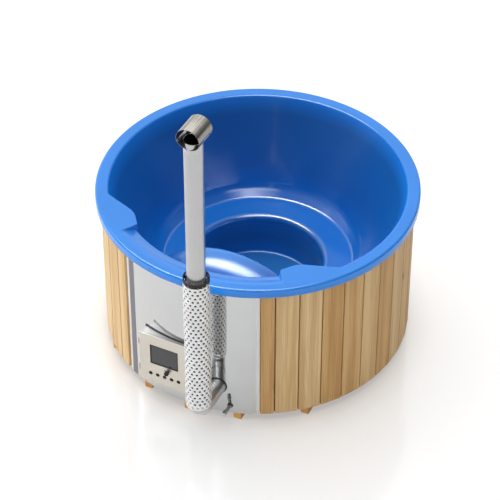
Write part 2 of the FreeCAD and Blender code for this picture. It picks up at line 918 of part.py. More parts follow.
def bend_points(before, corner, after, bend):
    """Ends and mitre corners of a quarter bend in straight gores, on the path round a corner."""
    into = (corner - before).normalize()
    out = (after - corner).normalize()
    centre = corner - into * bend + out * bend
    step = math.pi / 2 / bend_gores
    reach = bend / math.cos(step / 2)
    turns = [(i + 1 / 2) * step for i in range(bend_gores)]
    return [centre - out * (reach * math.cos(t)) + into * (reach * math.sin(t)) for t in turns]


def mitred_tube(outer, inner, points):
    """Round tube along straight runs with mitred corners."""
    size = outer + overrun
    directions = [(b - a).normalize() for a, b in zip(points, points[1:])]
    runs = []
    for i, along in enumerate(directions):
        start = points[i] - along * size * (i > 0)
        end = points[i + 1] + along * size * (i + 1 < len(directions))
        run = tube(outer, inner, start, along, (end - start).Length)
        if i > 0:
            run = run.cut(rod(2 * size, points[i], -along - directions[i - 1], 2 * size))
        if i + 1 < len(directions):
            run = run.cut(rod(2 * size, points[i + 1], along + directions[i + 1], 2 * size))
        runs.append(run)
    return runs[0].fuse(runs[1:]).removeSplitter()


def smoke_duct():
    """Smoke duct from the firebox through the jacket and the panel to the elbow."""
    y = -stove_front + duct_depth
    start = Vector(collar_right - collar_sheet, y, duct_height)
    upper = Vector(flue_offset, y, duct_height)
    lower = Vector(flue_offset, y, flue_height)
    end = Vector(flue_offset, chimney_y + elbow_bend + seat_gap, flue_height)
    return mitred_tube(flue_radius, flue_radius - flue_sheet, [start, upper, lower, end])


def flue_elbow():
    """Quarter bend in gores with a socket at each end."""
    inner = flue_radius + sleeve_gap
    corner = Vector(flue_offset, chimney_y, flue_height)
    reach = elbow_bend + socket_length
    level_end = corner + Vector(0, reach, 0)
    upright_end = corner + Vector(0, 0, reach)
    points = [level_end] + bend_points(level_end, corner, upright_end, elbow_bend) + [upright_end]
    return mitred_tube(inner + elbow_sheet, inner, points)


def chimney_pipe():
    """Straight smoke pipe from the elbow to the rain cap."""
    bottom = flue_height + elbow_bend + seat_gap
    return tube(flue_radius, flue_radius - flue_sheet, Vector(flue_offset, chimney_y, bottom),
                Vector(0, 0, 1), pipe_top - bottom)


def heat_guard():
    """Perforated sleeve round the pipe with staggered rows of square holes."""
    axis = Vector(flue_offset, chimney_y, guard_bottom)
    guard = tube(guard_radius, guard_radius - guard_sheet, axis, Vector(0, 0, 1), guard_top - guard_bottom)
    rows = int((guard_top - guard_bottom) / guard_row_pitch)
    margin = (guard_top - guard_bottom - (rows - 1) * guard_row_pitch) / 2
    step = full_turn / guard_holes_round
    half = guard_hole_size / 2
    punch = box(-half, half, flue_radius, guard_radius + half, -half, half)
    punches = []
    for row in range(rows):
        for i in range(guard_holes_round):
            hole = turned(punch, (i + (row % 2) / 2) * step)
            hole.translate(Vector(axis.x, axis.y, guard_bottom + margin + row * guard_row_pitch))
            punches.append(hole)
    return guard.cut(Part.makeCompound(punches))


def guard_spacers():
    """Small blocks that hold the guard off the pipe."""
    gap_ring = tube(guard_radius - guard_sheet - seat_gap, flue_radius + seat_gap,
                    Vector(0, 0, 0), Vector(0, 0, 1), spacer_height)
    half = spacer_width / 2
    spacer = gap_ring.common(box(-half, half, -guard_radius, 0, 0, spacer_height))
    spacers = []
    for height in (guard_bottom + 2 * spacer_inset, guard_top - spacer_inset):
        for i in range(spacer_count):
            piece = turned(spacer, i * full_turn / spacer_count)
            piece.translate(Vector(flue_offset, chimney_y, height))
            spacers.append(piece)
    return Part.makeCompound(spacers)


def cap_tube(outer, inner, low, high):
    """Slice of a level tube at the top of the pipe, between two heights over its axis."""
    front = chimney_y - flue_radius - cap_front_reach
    whole = tube(outer, inner, Vector(flue_offset, front, cap_centre_height), Vector(0, 1, 0), cap_length)
    return whole.common(box(flue_offset - cap_radius, flue_offset + cap_radius, front, front + cap_length,
                            cap_centre_height + low, cap_centre_height + high))


def cap_neck():
    """Turned neck in line with the pipe, with a spigot that goes into it."""
    spigot = flue_radius - flue_sheet - sleeve_gap
    inner = spigot - cap_sheet
    bottom = pipe_top - cap_spigot_length
    shoulder = pipe_top + seat_gap
    top = pipe_top + cap_neck_rise
    neck = lathe([
        (inner, bottom, 0),
        (spigot, bottom, 0),
        (spigot, shoulder, 0),
        (flue_radius, shoulder, 0),
        (flue_radius, top, 0),
        (inner, top, 0),
    ])
    neck.translate(Vector(flue_offset, chimney_y, 0))
    return neck


def cap_saddle():
    """Two cheeks under the rain cap, trimmed to a slant, on the neck."""
    cheeks = cap_tube(cap_radius, cap_radius - cap_sheet, -cap_radius, -cap_slit_drop - cap_slit / 2)
    low = cap_centre_height - cap_radius
    high = cap_centre_height - cap_slit_drop
    front = chimney_y - flue_radius
    back = chimney_y + flue_radius
    corners = [(front, low), (back, low), (back + cap_back_reach, high), (front - cap_front_reach, high)]
    side = [Vector(flue_offset - cap_radius, y, z) for y, z in corners]
    slant = Part.Face(Part.makePolygon(side + side[:1])).extrude(Vector(2 * cap_radius, 0, 0))
    bore = rod(flue_radius - cap_sheet / 2, Vector(flue_offset, chimney_y, low), Vector(0, 0, 1), cap_radius)
    return cheeks.common(slant).cut(bore).fuse(cap_neck()).removeSplitter()


def rain_cap():
    """Arch over the pipe, open at both ends."""
    return cap_tube(cap_radius, cap_radius - cap_sheet, cap_slit / 2 - cap_slit_drop, cap_radius)


def cap_tabs():
    """Strips inside the rain cap that join the arch to the cheeks."""
    outer = cap_radius - cap_sheet - seat_gap
    half = cap_tab_height / 2
    ring = cap_tube(outer, outer - cap_sheet, -cap_slit_drop - half, half - cap_slit_drop)
    front = chimney_y - flue_radius - cap_front_reach
    tabs = []
    for middle in (front + cap_tab_inset, front + cap_length - cap_tab_inset):
        half = cap_tab_width / 2
        for left, right in ((-cap_radius, 0), (0, cap_radius)):
            side = box(flue_offset + left, flue_offset + right, middle - half, middle + half,
                       cap_centre_height - cap_radius, cap_centre_height + cap_radius)
            tabs.append(ring.common(side))
    return Part.makeCompound([solid for tab in tabs for solid in tab.Solids])


def drain_nipple():
    """Threaded pipe end through the panel."""
    start = Vector(drain_offset, -drain_nipple_front, drain_height)
    return tube(drain_nipple_radius, drain_bore_radius, start, Vector(0, 1, 0),
                drain_nipple_front - drain_nipple_back)


def drain_cap():
    """Screw cap over the nipple's end with eight flats."""
    front = -drain_nipple_front - (drain_cap_length - drain_cap_lap)
    start = Vector(drain_offset, front, drain_height)
    turns = [2 * math.pi * i / drain_cap_flats for i in range(drain_cap_flats)]
    ring = [start + Vector(math.cos(t), 0, math.sin(t)) * drain_cap_radius for t in turns]
    cap = Part.Face(Part.makePolygon(ring + ring[:1])).extrude(Vector(0, drain_cap_length, 0))
    bore_start = Vector(drain_offset, -drain_nipple_front - seat_gap, drain_height)
    return cap.cut(rod(drain_nipple_radius + running_gap, bore_start, Vector(0, 1, 0), drain_cap_length))


def drain_pipe():
    """Waste pipe under the stove, bent up to the footwell floor."""
    inner = drain_nipple_radius + sleeve_gap
    outer = inner + drain_pipe_wall
    front = -drain_nipple_back - drain_lap
    start = Vector(drain_offset, front, drain_height)
    corner = Vector(drain_offset, -drain_back, drain_height)
    top = Vector(drain_offset, -drain_back, footwell_floor - shell_wall - seat_gap)
    return mitred_tube(outer, inner, [start] + bend_points(start, corner, top, drain_bend) + [top])


def floor_drain():
    """Flanged outlet in the footwell floor."""
    top = Vector(drain_offset, -drain_back, footwell_floor)
    flange = rod(floor_flange_radius, top, Vector(0, 0, 1), floor_flange_thickness)
    foot = top - Vector(0, 0, floor_tail_length)
    tail = rod(drain_nipple_radius, foot, Vector(0, 0, 1), floor_tail_length)
    bore = rod(drain_bore_radius, foot, Vector(0, 0, 1), floor_tail_length + overrun)
    return flange.fuse(tail).cut(bore).removeSplitter()


def drain_strainer():
    """Slotted disc on the floor outlet."""
    start = Vector(drain_offset, -drain_back, footwell_floor + floor_flange_thickness)
    disc = rod(strainer_radius, start, Vector(0, 0, 1), strainer_thickness)
    reach = strainer_radius * strainer_slot_share
    pitch = 2 * reach / strainer_slots
    half = strainer_slot_width / 2
    for i in range(strainer_slots):
        middle = drain_offset - reach + (i + 1 / 2) * pitch
        disc = disc.cut(box(middle - half, middle + half, start.y - reach, start.y + reach,
                            footwell_floor, start.z + strainer_thickness))
    return disc


def port_end(height):
    """Y of a water pipe's open end, just inside the hump."""
    cap, setback = hump_cap()
    lift = height - hump_centre_height
    return -hump_forward - setback + math.sqrt(cap ** 2 - lift ** 2) + port_reach


def water_pipe(height):
    """Pipe from the stove's back through the hump."""
    start = Vector(hump_offset, -stove_back, height)
    return tube(port_radius, port_radius - port_wall, start, Vector(0, 1, 0), port_end(height) + stove_back)


def port_grilles():
    """Slotted caps on the water pipes' ends inside the tub."""
    caps = []
    outer = port_radius + grille_lip
    for height in (cold_port_height, hot_port_height):
        end = port_end(height)
        cap = rod(outer, Vector(hump_offset, end - grille_thickness / 2, height), Vector(0, 1, 0),
                  grille_thickness)
        cap = cap.cut(rod(port_radius + sleeve_gap, Vector(hump_offset, end - grille_thickness, height),
                          Vector(0, 1, 0), grille_thickness))
        reach = port_radius * grille_slot_share
        pitch = 2 * reach / (grille_slots - 1)
        half = grille_slot_width / 2
        for i in range(grille_slots):
            middle = height - reach + i * pitch
            cap = cap.cut(box(hump_offset - reach, hump_offset + reach, end - grille_thickness,
                              end + grille_thickness, middle - half, middle + half))
        caps.append(cap)
    return Part.makeCompound(caps)


def nodes():
    """Every piece by its node name."""
    return {
        "tub_shell": tub_shell(),
        "cladding_boards": cladding_boards(),
        "upper_batten_ring": batten_ring(upper_batten_height),
        "middle_batten_ring": batten_ring(middle_batten_height),
        "base_skids": base_skids(),
        "base_board": base_board(),
        "floor_supports": floor_supports(),
        "steel_panel": steel_panel(),
        "stove_jacket": stove_jacket(),
        "firebox": firebox(),
        "stove_legs": stove_legs(),
        "stove_collar": stove_collar(),
        "collar_seal": collar_seal(),
        "fire_grate": fire_grate(),
        "stove_door": stove_door(),
        "window_seal": window_seal(),
        "door_glass": door_glass(),
        "glass_retainer": glass_retainer(),
        "door_rope": door_rope(),
        "air_damper": air_damper(),
        "damper_knob": damper_knob(),
        "damper_guides": damper_guides(),
        "hinge_brackets": hinge_brackets(),
        "door_knuckles": door_knuckles(),
        "hinge_pins": hinge_pins(),
        "latch_handle": latch_handle(),
        "latch_grip": latch_grip(),
        "latch_cam": latch_cam(),
        "latch_keeper": latch_keeper(),
        "smoke_duct": smoke_duct(),
        "flue_seal": round_seal(flue_offset, flue_height, flue_radius, flue_seal_width),
        "flue_elbow": flue_elbow(),
        "chimney_pipe": chimney_pipe(),
        "heat_guard": heat_guard(),
        "guard_spacers": guard_spacers(),
        "cap_saddle": cap_saddle(),
        "rain_cap": rain_cap(),
        "cap_tabs": cap_tabs(),
        "drain_nipple": drain_nipple(),
        "drain_seal": round_seal(drain_offset, drain_height, drain_nipple_radius, drain_seal_width),
        "drain_cap": drain_cap(),
        "drain_pipe": drain_pipe(),
        "floor_drain": floor_drain(),
        "drain_strainer": drain_strainer(),
        "port_grilles": port_grilles(),
        "cold_water_pipe": water_pipe(cold_port_height),
        "hot_water_pipe": water_pipe(hot_port_height),
    }


os.makedirs("parts", exist_ok=True)
for node, shape in nodes().items():
    print(node, "solids", len(shape.Solids), "valid", shape.isValid(), "volume", round(shape.Volume))
    shape.exportStep("parts/" + node + ".step")
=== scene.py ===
import json
import math
import random

import bpy
import numpy as np
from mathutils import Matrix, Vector


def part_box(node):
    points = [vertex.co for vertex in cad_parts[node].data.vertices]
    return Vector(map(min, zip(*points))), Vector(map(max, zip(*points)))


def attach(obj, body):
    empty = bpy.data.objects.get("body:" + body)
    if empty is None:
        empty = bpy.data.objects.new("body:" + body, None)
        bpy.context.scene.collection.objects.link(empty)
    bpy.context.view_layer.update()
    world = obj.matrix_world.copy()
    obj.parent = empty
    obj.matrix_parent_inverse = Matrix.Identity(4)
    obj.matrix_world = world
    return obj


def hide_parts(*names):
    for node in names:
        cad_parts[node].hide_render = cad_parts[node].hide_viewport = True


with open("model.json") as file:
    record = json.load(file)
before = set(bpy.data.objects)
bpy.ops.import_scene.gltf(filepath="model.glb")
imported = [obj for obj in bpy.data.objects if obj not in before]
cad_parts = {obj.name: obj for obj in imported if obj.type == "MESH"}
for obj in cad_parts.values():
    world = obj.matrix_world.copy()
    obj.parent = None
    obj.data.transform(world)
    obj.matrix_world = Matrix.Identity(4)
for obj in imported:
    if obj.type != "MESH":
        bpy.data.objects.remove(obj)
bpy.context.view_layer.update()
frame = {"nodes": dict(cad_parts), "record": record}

# Looks of a wood-fired hot tub, in metres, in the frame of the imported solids:
# origin on the tub's axis at the floor, +Z up, the stove door looks along -Y.

nodes = frame["nodes"]

# Tub shell
rim_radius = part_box("tub_shell")[1].x
rim_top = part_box("tub_shell")[1].z
lip_depth = 0.052
lip_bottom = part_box("tub_shell")[1].z - lip_depth
lip_wall = 0.007
lip_clearance = 0.001
rim_inner_radius = 0.830
rim_edge_round = 0.013
rim_inner_round = 0.014
bench_wall_radius = 0.592
bench_wall_height = 0.490
bench_wall_round = 0.150
bench_outer_radius = 0.538
bench_height = 0.440
bench_round = 0.028
bench_inner_radius = 0.372
bench_edge_round = 0.034
well_radius = 0.344
well_floor = 0.194
well_round = 0.016
well_middle = 0.012
ledge_half_angle = math.radians(35.0)
ledge_drop = 0.030
ledge_inner_radius = 0.755
ledge_outer_radius = 0.862
ledge_blend = 0.016
lug_tip_radius = 0.742
lug_knee_angle = math.radians(43.5)
lug_knee_radius = 0.716
lug_knee_round = 0.140
lug_end_angle = math.radians(57.5)
shelf_edge = 0.012
step_edge = 0.010
hump_centre = Vector((0.130, -0.577, 0.388))
hump_radius = 0.562
hump_half_depth = 0.300
hump_edge_round = 0.180
hump_back_reach = 0.205
hump_back_power = 1.5
hump_half_angle = math.radians(75.0)
hump_blend = 0.045

# Mesh of the shell: columns in degrees, close together at the front, and points along the section.
# The first points of the section climb the lip's outside, which the front's forms leave alone.
full_turn = 360.0
front_half_turn = 64.0
front_turn = 0.33
back_columns = 310
section_arc_steps = 8
section_run = 0.0075
lip_points = 10
lug_arc_steps = 12
lug_run = 0.010

# Cladding and steel panel
cladding_radius = 0.872
cladding_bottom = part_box("cladding_boards")[0].z
cladding_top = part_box("cladding_boards")[1].z
panel_turn = math.radians(-1.2)
panel_half_angle = math.radians(28.2)
panel_left = panel_turn - panel_half_angle
panel_right = panel_turn + panel_half_angle
panel_strip_angle = math.radians(5.6)
panel_fold_angle = math.radians(2.3)
panel_edge_angle = math.radians(1.3)
narrow_board_angle = math.radians(5.3)
board_count = 34
board_thickness = 0.022
board_gap = 0.0008
board_round = 0.0030
board_back_round = 0.0010
board_arc_steps = 3
board_seed = 56114
board_tone_spread = (1.3, 1.1)
board_grain_shift = 9

# Heat guard
guard_low, guard_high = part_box("heat_guard")
guard_radius = (guard_high.x - guard_low.x) / 2
guard_axis = Vector(((guard_low.x + guard_high.x) / 2, (guard_low.y + guard_high.y) / 2, 0))
guard_sheet = 0.0015
guard_holes_round = 16
guard_rows = 36
guard_hole_radius = 0.0060
guard_margin = 0.008
guard_crown_depth = 0.026
hole_sides = 16

# Door
door_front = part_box("stove_door")[0].y
door_face = 0.0015

# Flue and rain cap
flue_radius = 0.050
flue_axis = guard_axis
flue_cover_depth = 0.060
flue_foot_height = 0.020
flue_back_margin = 0.004
neck_margin = 0.0006
cap_low, cap_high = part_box("rain_cap")
cap_radius = (cap_high.x - cap_low.x) / 2
cap_axis = Vector(((cap_low.x + cap_high.x) / 2, 0, cap_high.z - cap_radius))
cap_neck_top = 2.071
cap_foot_top = 2.084

# Axes that count in a distance from an upright line and from a line along Y
off_upright = (1, 1, 0)
off_lengthwise = (1, 0, 1)

# Broken edges of solids
edge_width = 0.0008
edge_segments = 2
edge_angle = math.radians(30)
weld_reach = 1e-5

# Camera
camera_place = Vector((4.090, -8.364, 8.3695))
camera_aim = Vector((-0.3386, 0.6843, -0.6459))
camera_lens = 154.75
camera_sensor = 36.0
camera_far = 200.0

# Floor and light
floor_half_size = 40.0
floor_glow = 2.4
floor_glow_share = 0.17
contact_reach = 0.22
contact_samples = 16
bright_side = (-0.50, 0.42, 0.76)
fill_spread = math.radians(100)


def new_piece(name, points, faces, body, slot, smooth=True):
    """Mesh object that rides on a body and takes a slot's finish."""
    mesh = bpy.data.meshes.new(name)
    mesh.from_pydata([tuple(p) for p in points], [], faces)
    mesh.validate()
    mesh.polygons.foreach_set("use_smooth", [smooth] * len(mesh.polygons))
    piece = bpy.data.objects.new(name, mesh)
    bpy.context.scene.collection.objects.link(piece)
    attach(piece, body)
    piece.data.materials.append(materials[slot])
    return piece


def solidify(piece, thickness):
    """Gives a sheet its thickness, behind its face."""
    wall = piece.modifiers.new("wall", "SOLIDIFY")
    wall.thickness = thickness
    wall.offset = -1.0
    wall.use_rim = True


def soften(piece):
    """Joins a solid's split faces and breaks its sharp edges."""
    weld = piece.modifiers.new("weld", "WELD")
    weld.merge_threshold = weld_reach
    bevel = piece.modifiers.new("edges", "BEVEL")
    bevel.width = edge_width
    bevel.segments = edge_segments
    bevel.limit_method = "ANGLE"
    bevel.angle_limit = edge_angle
    bevel.harden_normals = False


# Shader nodes

def put(tree, value, socket):
    """Sets an input socket, or links another node's output to it."""
    if isinstance(value, bpy.types.NodeSocket):
        tree.links.new(value, socket)
    else:
        socket.default_value = value


def feed(tree, node, **values):
    """Puts values into input sockets by name, with _ for a space."""
    for name, value in values.items():
        put(tree, value, node.inputs[name.replace("_", " ")])


def add(tree, kind, **values):
    """New node with some of its input sockets fed."""
    node = tree.nodes.new(kind)
    feed(tree, node, **values)
    return node


def shader_tree(name):
    """New material with its node tree and its main shader."""
    material = bpy.data.materials.new(name)
    material.use_nodes = True
    tree = material.node_tree
    return material, tree, tree.nodes["Principled BSDF"]


def place_of(tree):
    """Object coordinates, which are the part's own frame in metres."""
    return tree.nodes.new("ShaderNodeTexCoord").outputs["Object"]


def attribute(tree, name, output):
    """Value that the mesh carries at its points."""
    node = tree.nodes.new("ShaderNodeAttribute")
    node.attribute_name = name
    return node.outputs[output]


def stretched(tree, source, scale):
    """Coordinates multiplied per axis."""
    return add(tree, "ShaderNodeMapping", Vector=source, Scale=scale).outputs["Vector"]


def noise(tree, vector, scale=1.0, detail=4.0, roughness=0.55):
    """Cloud pattern between 0 and 1."""
    node = add(tree, "ShaderNodeTexNoise", Vector=vector, Scale=scale, Detail=detail, Roughness=roughness)
    return node.outputs["Fac"]


def grey(value):
    """Colour without a hue."""
    return (value, value, value)


def ramp(tree, factor, stops):
    """Colour or grey from a factor, by (place, colour) stops."""
    node = add(tree, "ShaderNodeValToRGB", Fac=factor)
    elements = node.color_ramp.elements
    while len(elements) < len(stops):
        elements.new(0.5)
    for element, (place, colour) in zip(elements, stops):
        element.position = place
        element.color = (*colour, 1.0)
    return node.outputs["Color"]


def mixed(tree, factor, first, second, blend="MIX"):
    """Mix of two colour sockets or values."""
    node = tree.nodes.new("ShaderNodeMix")
    node.data_type = "RGBA"
    node.blend_type = blend
    sockets = {s.name: s for s in node.inputs if s.enabled}
    for name, value in (("Factor", factor), ("A", first), ("B", second)):
        put(tree, value, sockets[name])
    return [s for s in node.outputs if s.enabled][0]


def multiplied(tree, first, second):
    """Product of two colour sockets or values."""
    return mixed(tree, 1.0, first, second, "MULTIPLY")


def tinted(tree, share, colour, tint):
    """Colour multiplied by a tint, as far as the share says."""
    return mixed(tree, share, colour, multiplied(tree, colour, tint))


def maths(tree, operation, *values):
    """One sum on number sockets or values."""
    node = tree.nodes.new("ShaderNodeMath")
    node.operation = operation
    for value, socket in zip(values, node.inputs):
        put(tree, value, socket)
    return node.outputs["Value"]


def vector_maths(tree, operation, *values, output="Vector"):
    """One sum on vector sockets or values."""
    node = tree.nodes.new("ShaderNodeVectorMath")
    node.operation = operation
    for value, socket in zip(values, node.inputs):
        put(tree, value, socket)
    return node.outputs[output]


def fitted(tree, value, low, high):
    """A 0 to 1 value spread between two numbers."""
    return add(tree, "ShaderNodeMapRange", Value=value, To_Min=low, To_Max=high).outputs["Result"]


def blended(tree, mask, first, second):
    """Number that goes from one value to another with a mask."""
    kept = maths(tree, "MULTIPLY", first, maths(tree, "SUBTRACT", 1.0, mask))
    return maths(tree, "ADD", kept, maths(tree, "MULTIPLY", mask, second))


def bumped(tree, shader, height, strength, distance):
    """Fine relief on the shader."""
    node = add(tree, "ShaderNodeBump", Strength=strength, Distance=distance, Height=height)
    feed(tree, shader, Normal=node.outputs["Normal"])


def axis_value(tree, place, axis):
    """One of the three coordinates."""
    return add(tree, "ShaderNodeSeparateXYZ", Vector=place).outputs[axis]


def turn_of(tree, place):
    """Angle about the tub's axis from the front, positive towards +X."""
    front = maths(tree, "MULTIPLY", axis_value(tree, place, "Y"), -1.0)
    return maths(tree, "ARCTAN2", axis_value(tree, place, "X"), front)


# Masks: 1 inside a zone and 0 outside it

def below(tree, value, limit):
    """Where a number lies under a limit."""
    return maths(tree, "LESS_THAN", value, limit)


def above(tree, value, limit):
    """Where a number lies over a limit."""
    return maths(tree, "GREATER_THAN", value, limit)


def both(tree, first, second):
    """Where two masks overlap."""
    return maths(tree, "MULTIPLY", first, second)


def either(tree, first, second):
    """Where at least one of two masks lies."""
    return maths(tree, "MAXIMUM", first, second)


def from_line(tree, place, point, across):
    """Way out from a line through a point, along the axes named by ones in across."""
    return vector_maths(tree, "MULTIPLY", vector_maths(tree, "SUBTRACT", place, point), across)


def off_axis(tree, place, point, across):
    """Distance from a line through a point."""
    return vector_maths(tree, "LENGTH", from_line(tree, place, point, across), output="Value")


def faces_in(tree, place, point, across):
    """Where a face looks towards a line through a point."""
    normal = tree.nodes.new("ShaderNodeTexCoord").outputs["Normal"]
    outward = from_line(tree, place, point, across)
    return below(tree, vector_maths(tree, "DOT_PRODUCT", outward, normal, output="Value"), 0.0)


def flue_soot_and_painted_shade(tree, place):
    """Inside of the smoke pipe, sooty and in painted shade, and its outside where the guard covers it, in
    painted shade.
    """
    height = axis_value(tree, place, "Z")
    inner = faces_in(tree, place, flue_axis, off_upright)
    front = below(tree, axis_value(tree, place, "Y"), flue_axis.y + flue_radius + flue_back_margin)
    covered = both(tree, below(tree, height, guard_high.z - flue_cover_depth),
                   above(tree, height, guard_low.z + flue_foot_height))
    return either(tree, both(tree, inner, front), both(tree, covered, front))


def guard_painted_shade_and_soot(tree, place):
    """Inner face of the guard in painted shade, and its sooty crown."""
    reach = off_axis(tree, place, flue_axis, off_upright)
    inner = below(tree, reach, guard_radius - guard_sheet / 2)
    crown = above(tree, axis_value(tree, place, "Z"), guard_high.z - guard_crown_depth)
    return either(tree, inner, crown)


def door_return_painted_shade(tree, place):
    """Folded sides of the door behind its front face, painted dark grey as shade."""
    return above(tree, axis_value(tree, place, "Y"), door_front + door_face)


def cap_neck(tree, place):
    """Round neck under the rain cap, in line with the pipe, and the foot of the cap's cheeks."""
    height = axis_value(tree, place, "Z")
    near = below(tree, off_axis(tree, place, flue_axis, off_upright), flue_radius + neck_margin)
    neck = both(tree, near, below(tree, height, cap_neck_top))
    cheeks = faces_in(tree, place, cap_axis, off_lengthwise)
    return either(tree, neck, both(tree, cheeks, below(tree, height, cap_foot_top)))


def cap_soot_and_painted_shade(tree, place):
    """Inner faces of the rain cap's arch and of its neck, sooty and in painted shade."""
    height = axis_value(tree, place, "Z")
    arch = faces_in(tree, place, cap_axis, off_lengthwise)
    bore = faces_in(tree, place, flue_axis, off_upright)
    return either(tree, both(tree, arch, above(tree, height, cap_foot_top)),
                  both(tree, bore, below(tree, height, cap_neck_top)))


def painted_reflection_strip(tree, place):
    """Flat strip along the panel's left edge, where a dark reflection is painted."""
    return below(tree, turn_of(tree, place), panel_left + panel_strip_angle)


def painted_edge_highlights(tree, place):
    """Painted highlights: a bright fold at the panel's left edge and a bright cut edge at its right."""
    turn = turn_of(tree, place)
    return either(tree, below(tree, turn, panel_left + panel_fold_angle),
                  above(tree, turn, panel_right - panel_edge_angle))


# Tones of the finishes; those of the gelcoat go by height in metres and paint shade into the shell
blues_with_painted_shade = [(0.20, (0.010, 0.180, 0.540)), (0.30, (0.007, 0.125, 0.370)), (0.42, (0.008, 0.150, 0.460)),
         (0.44, (0.009, 0.195, 0.680)), (0.60, (0.007, 0.146, 0.520)), (0.88, (0.008, 0.165, 0.570)),
         (0.975, (0.014, 0.296, 1.000))]
gelcoat_dulling = [(0.38, grey(0.20)), (0.43, grey(0.0)), (0.51, grey(0.0)), (0.57, grey(0.14)),
                   (0.90, grey(0.14)), (0.955, grey(0.12)), (0.970, grey(0.20))]
gelcoat_sheen = [(0.22, grey(0.22)), (0.40, grey(0.40)), (0.435, grey(0.5)), (0.960, grey(0.5)),
                 (0.972, grey(0.34))]
gelcoat_coat_share = 0.4
seat_margin = 0.0006
seat_dulling = 0.34
cloud_tones = [(0.3, (0.93, 0.93, 0.94)), (0.7, grey(1.0))]
honey = [(0.0, (0.70, 0.44, 0.18)), (0.3, (0.76, 0.51, 0.23)), (0.6, (0.83, 0.60, 0.30)),
         (1.0, (0.92, 0.74, 0.45))]
orange = [(0.3, (0.76, 0.42, 0.14)), (0.7, (0.90, 0.56, 0.22))]
streak_tones = [(0.38, (0.66, 0.47, 0.28)), (0.60, (1.0, 0.97, 0.92))]
streak_stretch = (24.0, 24.0, 0.9)
streak_share = 0.55
ring_tint = (0.66, 0.50, 0.34, 1.0)
ring_stretch = (1.0, 1.0, 0.10)
ring_share = 0.24
ring_wander = 0.05
ring_wander_stretch = (9.0, 9.0, 1.1)
ring_relief = 0.6
fibre_tint = (0.62, 0.50, 0.38, 1.0)
fibre_stretch = (420.0, 420.0, 6.0)
fibre_share = 0.28
knot_core = [(0.05, grey(1.0)), (0.12, grey(0.0))]
knot_stretch = (9.0, 9.0, 3.2)
knot_choice = [(0.52, grey(0.0)), (0.55, grey(1.0))]
knot_choice_stretch = (5.0, 5.0, 1.7)
knot_colour = (0.16, 0.075, 0.03, 1.0)
knot_share = 0.8
joint_tint = (0.64, 0.51, 0.36, 1.0)
wood_smoother, wood_rougher = 0.06, 0.10
brush_share, cloud_share = 0.6, 0.4
steel_dull, steel_bright = 0.30, 0.70
grain_low, grain_high = 0.35, 0.65
grain_smoother, grain_rougher = 0.05, 0.08
glass_tones = [(0.3, (0.016, 0.017, 0.018)), (0.7, (0.028, 0.029, 0.030))]
floor_tones = [(0.2, grey(0.88)), (0.8, grey(0.90))]
painted_contact_shadow_tones = [(0.30, (0.56, 0.47, 0.38)), (0.60, (0.80, 0.75, 0.69)), (0.95, grey(1.0))]
sky_tones = [(0.35, grey(0.05)), (0.55, grey(0.15)), (0.65, grey(0.35)), (0.80, grey(1.0)),
             (0.95, grey(1.5))]


# Finishes

def gelcoat(name, tones):
    """Glossy moulded shell, deeper in colour towards the bottom as painted shade, duller on the seat."""
    material, tree, shader = shader_tree(name)
    place = place_of(tree)
    height = axis_value(tree, place, "Z")
    clouds = ramp(tree, noise(tree, place, scale=2.2, detail=3.0), cloud_tones)
    smudge = fitted(tree, noise(tree, place, scale=9.0, detail=5.0), low=0.06, high=0.13)
    from_seat = maths(tree, "ABSOLUTE", maths(tree, "SUBTRACT", height, bench_height))
    seat = maths(tree, "MULTIPLY", below(tree, from_seat, seat_margin), seat_dulling)
    sheen = maths(tree, "SUBTRACT", ramp(tree, height, gelcoat_sheen), seat)
    feed(tree, shader,
         # The base colour's height ramp paints shade: lightest on the rim, darker on the walls and in the
         # footwell.
         Base_Color=multiplied(tree, ramp(tree, height, tones), clouds),
         Roughness=maths(tree, "ADD", smudge, ramp(tree, height, gelcoat_dulling)),
         Specular_IOR_Level=sheen,
         Coat_Weight=maths(tree, "MULTIPLY", sheen, gelcoat_coat_share),
         Coat_Roughness=0.05)
    orange_peel = noise(tree, place, scale=160.0, detail=2.0)
    bumped(tree, shader, orange_peel, strength=0.05, distance=0.0004)
    return material


